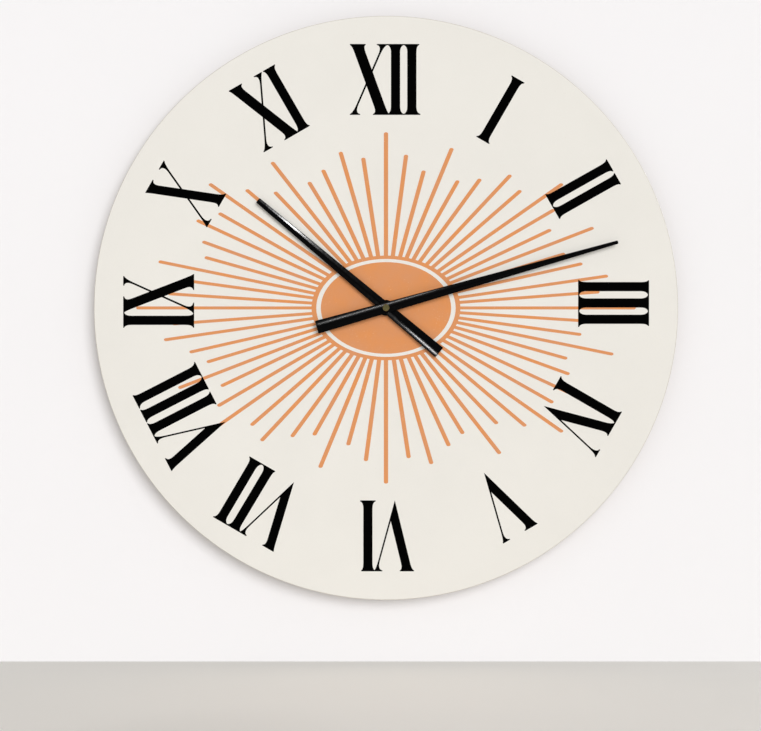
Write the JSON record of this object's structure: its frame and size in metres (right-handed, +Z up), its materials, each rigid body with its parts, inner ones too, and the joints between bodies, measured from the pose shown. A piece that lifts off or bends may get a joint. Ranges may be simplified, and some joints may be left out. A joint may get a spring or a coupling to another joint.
{
  "type": "sunburst wall clock",
  "caption": "Large round wall clock: a flat printed dial with Roman numerals and a sunburst, folded metal hands and a quartz movement with a steel hanger behind.",
  "frame": {"origin": "on the hands' axis, in the plane of the wall, at the back of the movement's rear cover", "axes": "+Z up, +Y into the wall, the dial faces -Y, +X to the viewer's right"},
  "size_m": [0.7369, 0.0383, 0.737],
  "materials": {
    "fibreboard": "raw fibreboard back, painted edge",
    "cream_print": "matt printed cream",
    "black_ink": "matt black ink",
    "orange_ink": "matt orange ink with light speckled wear",
    "case_plastic": "fine moulded texture",
    "knob_plastic": "moulded",
    "inner_plastic": "moulded",
    "gear_plastic": "natural acetal",
    "bobbin_plastic": "moulded",
    "brass": "turned",
    "aged_brass": "dulled olive brass",
    "steel": "zinc plated",
    "contact_steel": "nickel plated",
    "hanger_steel": "zinc plated pressed sheet",
    "motor_iron": "punched sheet",
    "magnet": "bonded ferrite",
    "copper_wire": "enamelled copper",
    "circuit_laminate": "solder mask",
    "epoxy": "epoxy drop",
    "crystal_can": "drawn can",
    "gasket_rubber": "matt",
    "dark_washer": "black",
    "hand_black": "gloss black paint",
    "bush_black": "black plated brass",
    "battery_can": "plated",
    "battery_sleeve": "plain printed sleeve"
  },
  "bodies": {
    "case_and_dial": {"dial_board": "fibreboard", "face_laminate": "cream_print", "printed_numerals": "black_ink", "printed_sunburst": "orange_ink", "rear_cover": "case_plastic", "front_case": "case_plastic", "threaded_bushing": "brass", "middle_plate": "inner_plastic", "plate_screws": "steel", "stator": "motor_iron", "coil_core": "motor_iron", "core_screws": "steel", "coil_bobbin": "bobbin_plastic", "coil_winding": "copper_wire", "circuit_board": "circuit_laminate", "chip_cover": "epoxy", "quartz_crystal": "crystal_can", "positive_contact": "contact_steel", "negative_contact": "contact_steel", "negative_spring": "contact_steel", "wall_hanger": "hanger_steel", "rubber_gasket": "gasket_rubber", "dial_washer": "dark_washer", "fixing_nut": "brass"},
    "minute_works": {"minute_hand": "hand_black", "minute_hand_bush": "bush_black", "hand_nut": "aged_brass", "minute_pipe": "brass", "clutch_spring": "steel", "centre_wheel": "gear_plastic"},
    "hour_works": {"hour_hand": "hand_black", "hour_hand_bush": "bush_black", "hour_wheel": "gear_plastic"},
    "minute_wheel_arbor": {"minute_wheel": "gear_plastic"},
    "setting_works": {"setting_knob": "knob_plastic", "setting_pinion": "gear_plastic"},
    "third_arbor": {"third_wheel": "gear_plastic"},
    "seconds_arbor": {"seconds_wheel": "gear_plastic"},
    "step_arbor": {"step_wheel": "gear_plastic"},
    "rotor": {"rotor_magnet": "magnet", "rotor_pinion": "gear_plastic"},
    "battery": {"battery_cell": "battery_can", "battery_jacket": "battery_sleeve"}
  },
  "joints": [
    {"name": "minute_hand_turn", "type": "hinge", "parent": "case_and_dial", "child": "minute_works", "pos_m": [0, 0, 0], "axis": [0, 1, 0], "continuous": true},
    {"name": "hour_hand_turn", "type": "hinge", "parent": "case_and_dial", "child": "hour_works", "pos_m": [0, 0, 0], "axis": [0, 1, 0], "continuous": true},
    {"name": "minute_wheel_turn", "type": "hinge", "parent": "case_and_dial", "child": "minute_wheel_arbor", "pos_m": [0.00983, 0, 0.00688], "axis": [0, 1, 0], "continuous": true},
    {"name": "setting_knob_turn", "type": "hinge", "parent": "case_and_dial", "child": "setting_works", "pos_m": [0.01966, 0, 0.01377], "axis": [0, 1, 0], "continuous": true},
    {"name": "third_wheel_turn", "type": "hinge", "parent": "case_and_dial", "child": "third_arbor", "pos_m": [-0.002, 0, 0.01134], "axis": [0, 1, 0], "continuous": true},
    {"name": "seconds_wheel_turn", "type": "hinge", "parent": "case_and_dial", "child": "seconds_arbor", "pos_m": [0, 0, 0], "axis": [0, 1, 0], "continuous": true},
    {"name": "step_wheel_turn", "type": "hinge", "parent": "case_and_dial", "child": "step_arbor", "pos_m": [-0.00976, 0, 0.00085], "axis": [0, 1, 0], "continuous": true},
    {"name": "rotor_turn", "type": "hinge", "parent": "case_and_dial", "child": "rotor", "pos_m": [-0.01685, 0, 0.0021], "axis": [0, 1, 0], "continuous": true},
    {"name": "battery_slide", "type": "slide", "parent": "case_and_dial", "child": "battery", "axis": [0, 1, 0], "range_m": [0, 0.03]}
  ],
  "couplings": [
    {"joint": "hour_hand_turn", "follows": "minute_hand_turn", "ratio": 0.083333},
    {"joint": "minute_wheel_turn", "follows": "minute_hand_turn", "ratio": -0.33333},
    {"joint": "setting_knob_turn", "follows": "minute_hand_turn", "ratio": 1},
    {"joint": "third_wheel_turn", "follows": "minute_hand_turn", "ratio": -8},
    {"joint": "seconds_wheel_turn", "follows": "minute_hand_turn", "ratio": 60},
    {"joint": "step_wheel_turn", "follows": "minute_hand_turn", "ratio": -360},
    {"joint": "rotor_turn", "follows": "minute_hand_turn", "ratio": 1800}
  ]
}
